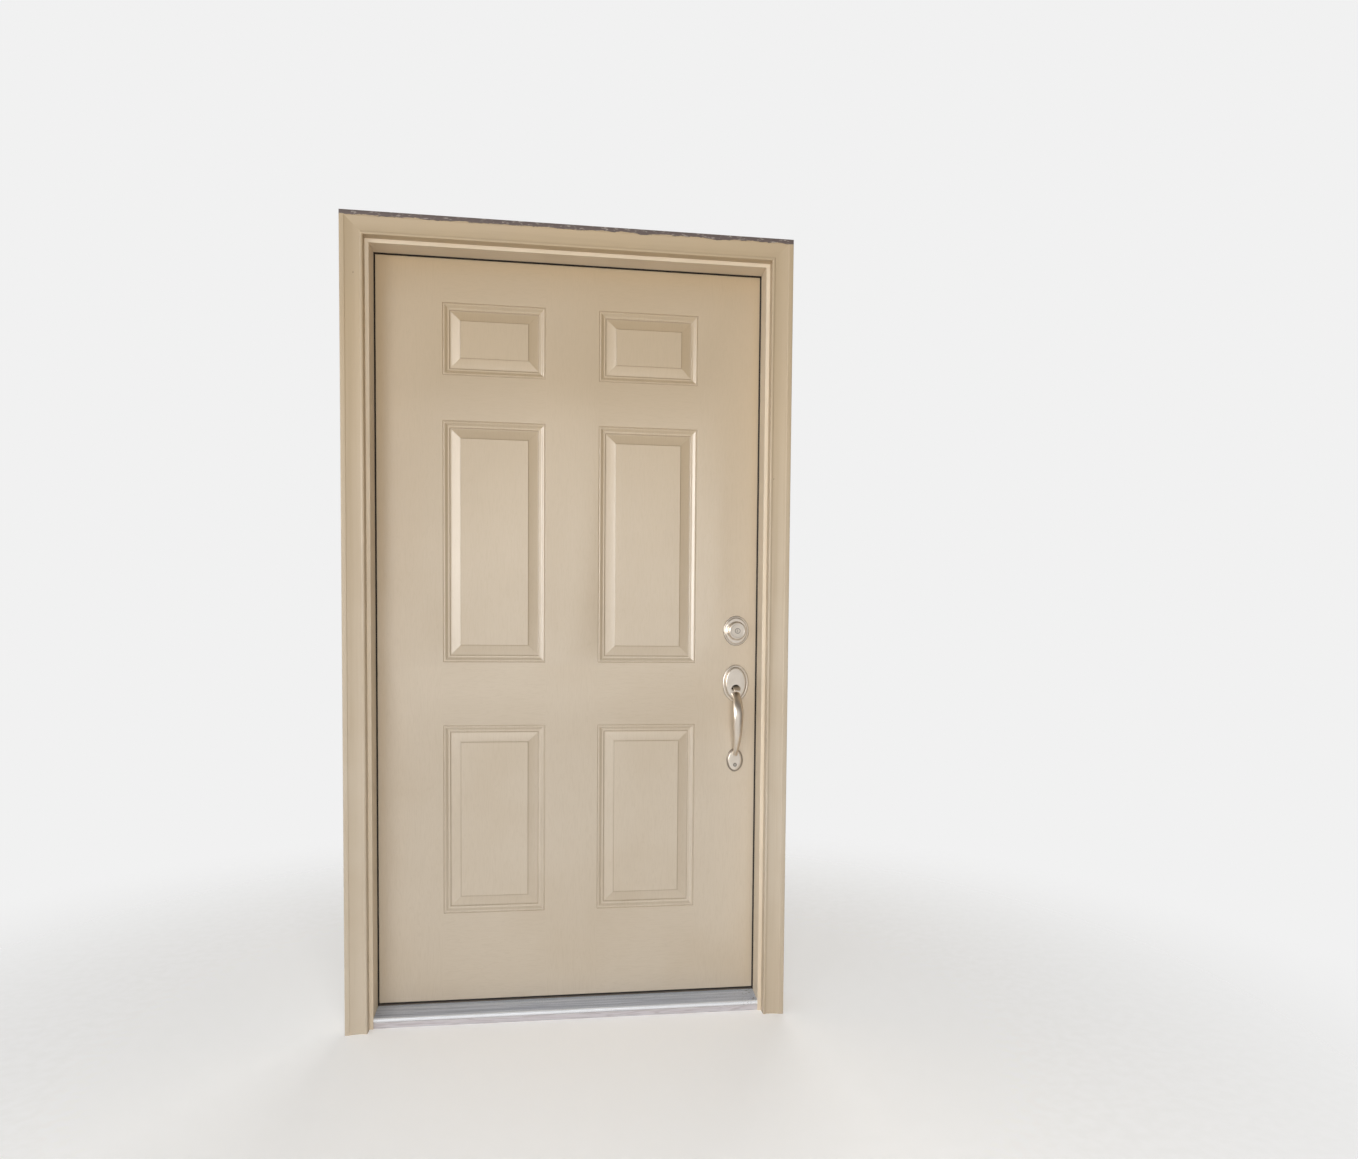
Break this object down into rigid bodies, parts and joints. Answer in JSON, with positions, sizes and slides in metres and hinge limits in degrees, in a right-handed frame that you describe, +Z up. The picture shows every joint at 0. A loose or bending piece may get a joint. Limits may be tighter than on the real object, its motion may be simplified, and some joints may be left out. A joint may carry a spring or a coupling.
{
  "type": "exterior door with frame",
  "caption": "Panelled front door in a rebated frame with brickmould casing, metal sill, weatherstrips, hinges, pull handle with thumb latch, and a deadbolt",
  "frame": {"origin": "middle of the sill's underside, in the plane of the jambs' outside edges", "axes": "+X across the doorway with the latch side positive, +Y into the house, +Z up"},
  "size_m": [1.1814, 0.2098, 2.1312],
  "materials": {
    "door_paint": "satin painted, faint wood grain",
    "jamb_paint": "satin painted",
    "casing_paint": "satin painted",
    "sill_aluminium": "mill finish, scuffed",
    "sill_wood": "raw timber",
    "weatherstrip": "soft matt foam",
    "sweep_vinyl": "soft vinyl",
    "core_wood": "raw timber",
    "foam": "rigid insulation foam",
    "satin_nickel": "satin nickel plate",
    "hinge_steel": "satin plated steel",
    "lock_steel": "zinc plated steel",
    "screw_steel": "plated steel",
    "key_brass": "nickel plated brass"
  },
  "bodies": {
    "frame": {"brickmould_head": "casing_paint", "brickmould_left": "casing_paint", "brickmould_right": "casing_paint", "casing_nails": "screw_steel", "corner_pads": "weatherstrip", "deadbolt_strike": "lock_steel", "hinge_frame_leaf_bottom": "hinge_steel", "hinge_frame_leaf_middle": "hinge_steel", "hinge_frame_leaf_top": "hinge_steel", "hinge_frame_screws": "screw_steel", "hinge_pins": "hinge_steel", "jamb_head": "jamb_paint", "jamb_hinge_side": "jamb_paint", "jamb_latch_side": "jamb_paint", "jamb_screws": "screw_steel", "latch_strike": "lock_steel", "sill_base": "sill_wood", "sill_cap": "sill_aluminium", "sill_cap_screws": "screw_steel", "sill_deck": "sill_aluminium", "strike_screws": "screw_steel", "weatherstrip_head": "weatherstrip", "weatherstrip_left": "weatherstrip", "weatherstrip_right": "weatherstrip"},
    "door": {"cylinder_body": "satin_nickel", "deadbolt_case": "lock_steel", "deadbolt_collar": "satin_nickel", "deadbolt_rose": "satin_nickel", "deadbolt_rosette": "satin_nickel", "deadbolt_through_screws": "satin_nickel", "door_sweep": "sweep_vinyl", "faceplate_screws": "screw_steel", "foam_core": "foam", "grip_screw": "satin_nickel", "hinge_door_leaf_bottom": "hinge_steel", "hinge_door_leaf_middle": "hinge_steel", "hinge_door_leaf_top": "hinge_steel", "hinge_door_screws": "screw_steel", "knob_rose": "satin_nickel", "knob_through_screws": "satin_nickel", "latch_case": "lock_steel", "lock_block": "core_wood", "pull_grip": "satin_nickel", "rail_bottom": "core_wood", "rail_top": "core_wood", "skin_back": "door_paint", "skin_front": "door_paint", "stile_hinge": "door_paint", "stile_latch": "door_paint", "upper_rosette": "satin_nickel"},
    "knob": {"inside_knob": "satin_nickel", "spindle": "lock_steel", "latch_hub": "lock_steel"},
    "latch": {"latch_bolt": "lock_steel"},
    "thumb": {"thumb_piece": "satin_nickel"},
    "turn": {"thumb_turn": "satin_nickel", "tailpiece": "lock_steel", "deadbolt_cam": "lock_steel", "cylinder_plug": "key_brass"},
    "bolt": {"deadbolt_bolt": "lock_steel"}
  },
  "joints": [
    {"name": "door_swing", "type": "hinge", "parent": "frame", "child": "door", "pos_m": [-0.535, 0.123, 1.058], "axis": [0, 0, 1], "range_deg": [0, 105]},
    {"name": "knob_turn", "type": "hinge", "parent": "door", "child": "knob", "pos_m": [0.4635, 0.116, 0.932], "axis": [0, -1, 0], "range_deg": [0, 45], "stiffness_Nm_per_rad": 0.25},
    {"name": "latch_slide", "type": "slide", "parent": "door", "child": "latch", "axis": [-1, 0, 0], "range_m": [0, 0.0128]},
    {"name": "thumb_press", "type": "hinge", "parent": "door", "child": "thumb", "pos_m": [0.4635, 0.06755, 0.912], "axis": [1, 0, 0], "range_deg": [0, 18.1]},
    {"name": "bolt_turn", "type": "hinge", "parent": "door", "child": "turn", "pos_m": [0.4635, 0.116, 1.072], "axis": [0, 1, 0], "range_deg": [0, 90]},
    {"name": "deadbolt_slide", "type": "slide", "parent": "door", "child": "bolt", "axis": [1, 0, 0], "range_m": [0, 0.0254]}
  ],
  "couplings": [
    {"joint": "latch_slide", "follows": "knob_turn", "m_per_rad": 0.01617},
    {"joint": "thumb_press", "follows": "knob_turn", "ratio": 0.4},
    {"joint": "bolt_turn", "follows": "deadbolt_slide", "rad_per_m": 61.8}
  ]
}
